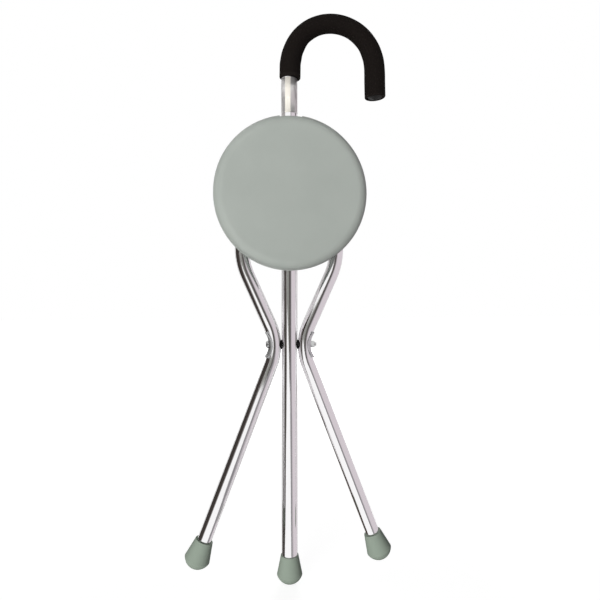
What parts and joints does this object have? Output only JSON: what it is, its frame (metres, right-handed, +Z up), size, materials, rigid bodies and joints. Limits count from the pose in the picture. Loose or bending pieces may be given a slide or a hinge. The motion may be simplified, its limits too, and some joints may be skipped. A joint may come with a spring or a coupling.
{
  "type": "walking stick seat",
  "caption": "Crook-handled walking stick with bent side legs on a common pivot bolt and a round seat that folds down from flat against the stick to make a tripod stool.",
  "frame": {"origin": "tip of the stick's ferrule, at the centre of its small flat", "axes": "+Z up the stick, +X towards the crook's free end, the folded seat on the -Y side"},
  "size_m": [0.3294, 0.0643, 0.8999],
  "materials": {
    "polished_tube": "polished",
    "foam": "matte closed-cell foam",
    "ferrule_rubber": "matte",
    "seat_plastic": "fine satin",
    "black_plastic": "satin",
    "plated_sheet": "zinc plated",
    "zinc_steel": "zinc plated"
  },
  "bodies": {
    "stick": {"stick_tube": "polished_tube", "foam_grip": "foam", "crook_end_plug": "black_plastic", "stick_ferrule": "ferrule_rubber", "stick_ferrule_washer": "zinc_steel", "pivot_bush": "zinc_steel", "open_stop_pin": "zinc_steel"},
    "side_frame": {"left_leg": "polished_tube", "right_leg": "polished_tube", "left_leg_ferrule": "ferrule_rubber", "right_leg_ferrule": "ferrule_rubber", "left_leg_ferrule_washer": "zinc_steel", "right_leg_ferrule_washer": "zinc_steel", "left_leg_plug": "black_plastic", "right_leg_plug": "black_plastic", "left_saddle": "plated_sheet", "right_saddle": "plated_sheet", "left_spacer": "black_plastic", "right_spacer": "black_plastic", "pivot_bolt": "zinc_steel", "pivot_nut": "zinc_steel"},
    "seat": {"seat_shell": "seat_plastic", "left_leg_bracket": "plated_sheet", "right_leg_bracket": "plated_sheet", "collar_bracket": "plated_sheet", "left_bracket_screw_low": "zinc_steel", "left_bracket_screw_high": "zinc_steel", "right_bracket_screw_low": "zinc_steel", "right_bracket_screw_high": "zinc_steel", "collar_bracket_screw_low": "zinc_steel", "collar_bracket_screw_high": "zinc_steel", "left_hinge_bolt": "zinc_steel", "right_hinge_bolt": "zinc_steel", "left_hinge_nut": "zinc_steel", "right_hinge_nut": "zinc_steel"},
    "collar": {"slide_collar": "black_plastic", "left_collar_screw": "zinc_steel", "right_collar_screw": "zinc_steel"}
  },
  "joints": [
    {"name": "leg_fold", "type": "hinge", "parent": "stick", "child": "side_frame", "pos_m": [0, 0, 0.382], "axis": [1, 0, 0], "range_deg": [0, 56.8]},
    {"name": "seat_hinge", "type": "hinge", "parent": "side_frame", "child": "seat", "pos_m": [0, 0, 0.55196], "axis": [1, 0, 0], "range_deg": [-113.6, 0]},
    {"name": "collar_hinge", "type": "hinge", "parent": "seat", "child": "collar", "pos_m": [0, 0, 0.72192], "axis": [1, 0, 0], "range_deg": [0, 56.8]}
  ],
  "couplings": [
    {"joint": "seat_hinge", "follows": "leg_fold", "ratio": -2},
    {"joint": "collar_hinge", "follows": "leg_fold", "ratio": 1}
  ]
}
